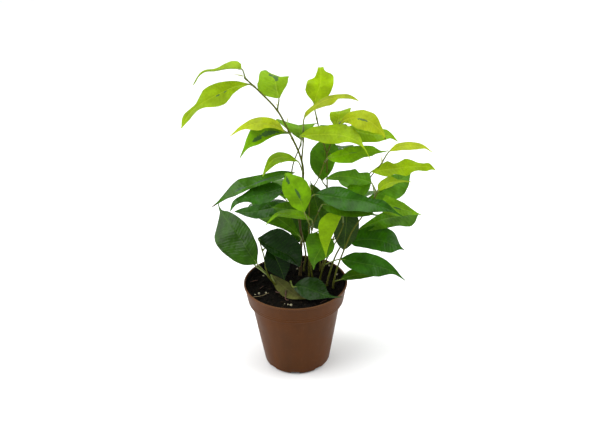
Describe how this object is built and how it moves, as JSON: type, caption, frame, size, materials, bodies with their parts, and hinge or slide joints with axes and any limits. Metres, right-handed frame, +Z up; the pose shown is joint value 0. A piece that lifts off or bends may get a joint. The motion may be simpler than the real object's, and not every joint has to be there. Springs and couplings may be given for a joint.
{
  "type": "potted weeping fig",
  "caption": "Small bushy weeping fig, a clump of leafy shoots rooted in dark potting soil in a tapered brown plastic nursery pot, which stands on its flat base.",
  "frame": {"origin": "middle of the pot's flat underside", "axes": "+Z up along the pot's axis; -Y is the side that faces the viewer, so +X is to the viewer's right"},
  "size_m": [0.2386, 0.1684, 0.3291],
  "materials": {
    "pot": "terracotta-brown moulded nursery plastic, satin",
    "soil": "dark crumbly peat potting soil with a few perlite grains",
    "young_foliage": "thin lime-green young leaves on brown stems, satin",
    "mid_foliage": "mid-green leathery leaves on brown stems, soft gloss",
    "old_foliage": "dark green leathery leaves on brown stems, glossy"
  },
  "bodies": {
    "root": {"pot": "pot", "soil": "soil", "leafy_stem_leader": "young_foliage", "leafy_stem_back_left": "mid_foliage", "leafy_stem_forked": "young_foliage", "leafy_stem_centre": "mid_foliage", "leafy_stem_short": "young_foliage", "leafy_stem_low_right": "mid_foliage", "leafy_stem_outer_right": "mid_foliage", "leafy_stem_inner_right": "mid_foliage", "leafy_stem_left": "old_foliage", "leafy_stem_rear_left": "mid_foliage", "leafy_stem_rear_right": "mid_foliage", "leafy_sprout_front": "old_foliage"}
  },
  "joints": []
}
